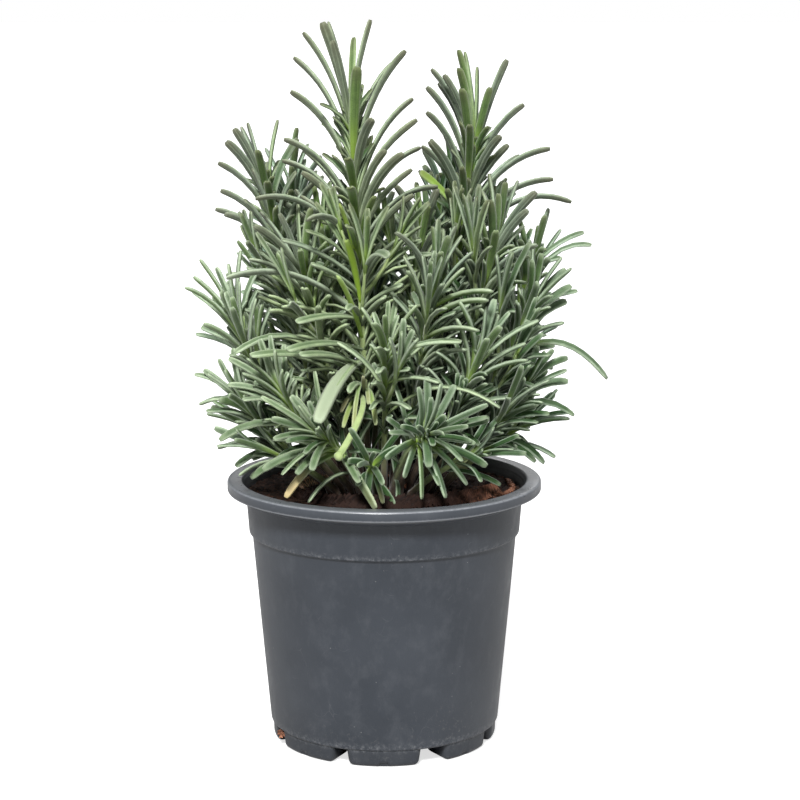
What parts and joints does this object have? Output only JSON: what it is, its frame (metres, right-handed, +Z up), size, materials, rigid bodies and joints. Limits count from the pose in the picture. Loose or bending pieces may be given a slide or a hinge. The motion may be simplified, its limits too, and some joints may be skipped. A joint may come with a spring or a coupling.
{
  "type": "potted lavender",
  "caption": "Leafy lavender plant, without flowers, growing from bark-flecked soil in a round tapered nursery pot with a rolled rim and feet.",
  "frame": {"origin": "middle of the whole plant's footprint, on the floor that the pot's feet stand on", "axes": "+Z up; the front of the plant faces -Y"},
  "size_m": [0.1726, 0.1478, 0.297],
  "materials": {
    "pot": "satin",
    "soil": "matte",
    "leaf": "matte"
  },
  "bodies": {
    "root": {"pot": "pot", "soil": "soil", "stem_tall_centre": "leaf", "stem_tall_right": "leaf", "stem_tall_left": "leaf", "stem_front_right": "leaf", "stem_front_left": "leaf", "stem_left_outer": "leaf", "stem_left_low": "leaf", "stem_left_front": "leaf", "stem_right_outer": "leaf", "stem_right_mid": "leaf", "stem_right_low": "leaf", "stem_right_inner": "leaf", "stem_mid_right": "leaf", "stem_mid_left": "leaf", "stem_right_front": "leaf", "stem_mid_front": "leaf", "stem_centre": "leaf", "stem_left_inner": "leaf", "stem_back_left": "leaf", "stem_back_tall": "leaf", "stem_back_right": "leaf", "stem_right_back_low": "leaf", "stem_left_back_low": "leaf", "stem_back_outer_right": "leaf", "stem_back_outer_left": "leaf", "stem_back_low_left": "leaf", "stem_back_low_right": "leaf", "stem_front_low": "leaf", "stem_right_front_low": "leaf", "stem_right_rim": "leaf", "stem_left_rim": "leaf", "stem_back_rim": "leaf", "stem_left_back_rim": "leaf"}
  },
  "joints": []
}
